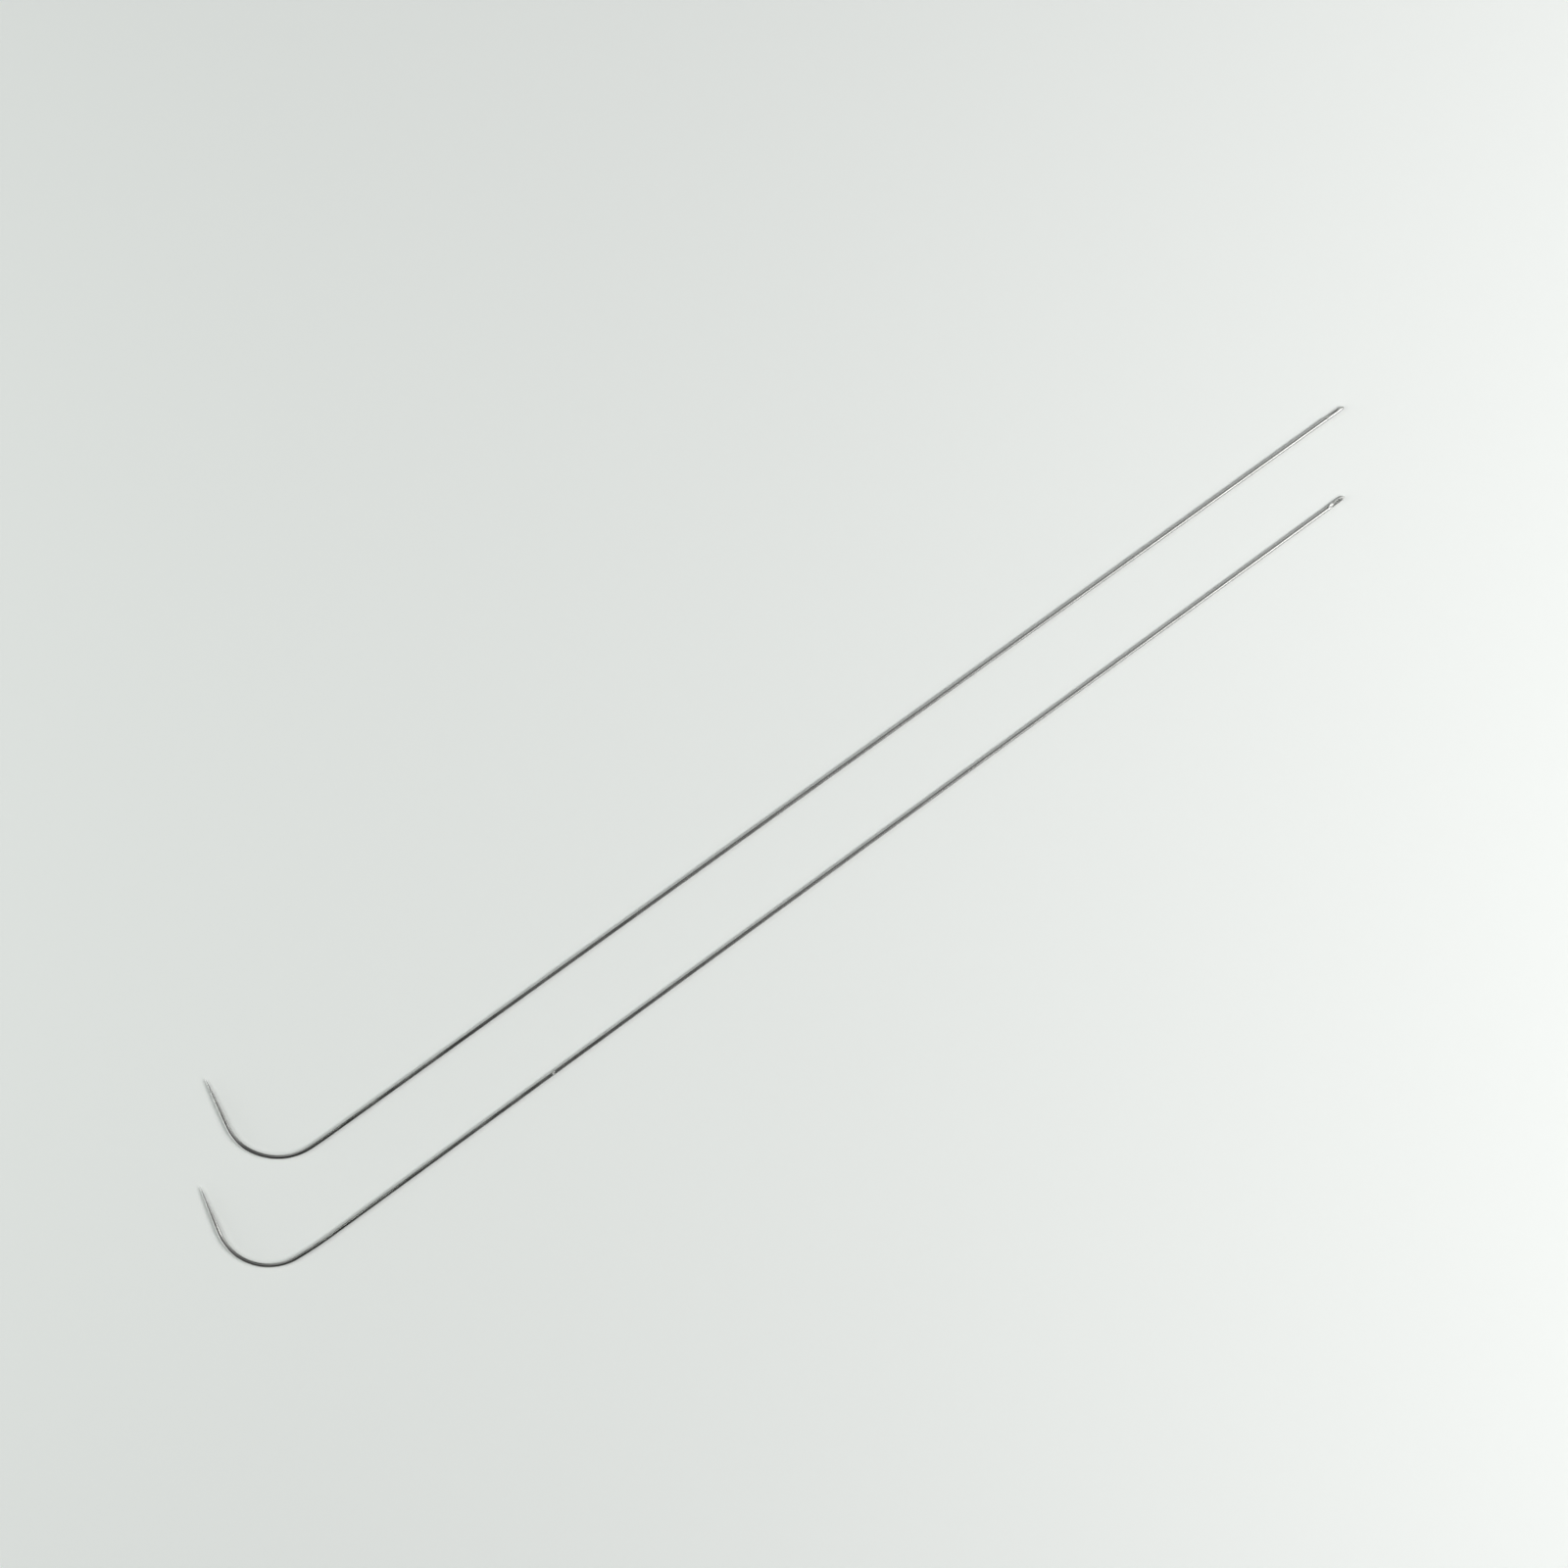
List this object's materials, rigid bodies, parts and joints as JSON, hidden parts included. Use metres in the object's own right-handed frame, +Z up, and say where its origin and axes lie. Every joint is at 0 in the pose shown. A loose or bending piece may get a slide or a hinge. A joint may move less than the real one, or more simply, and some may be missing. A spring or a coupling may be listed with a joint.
{
  "type": "pair of curved beading needles",
  "caption": "Slim steel wire needles lying side by side, each with a pressed thread eye, a long straight shank and a hooked, pointed end.",
  "frame": {"origin": "middle of the box around both needles, at the height of the table that they lie on", "axes": "+X along needle A's shank towards its eye, +Y towards the side that both hooks open to, +Z up from the table"},
  "size_m": [0.2228, 0.0324, 0.0007],
  "materials": {
    "needle_steel": "hard drawn stainless wire, polished, with faint lines along its length"
  },
  "bodies": {
    "needle_a": {"beading_needle_a": "needle_steel"},
    "needle_b": {"beading_needle_b": "needle_steel"}
  },
  "joints": [
    {"name": "lift_needle_b", "type": "slide", "parent": "needle_a", "child": "needle_b", "axis": [0, 0, 1], "range_m": [0, 0.06]}
  ]
}
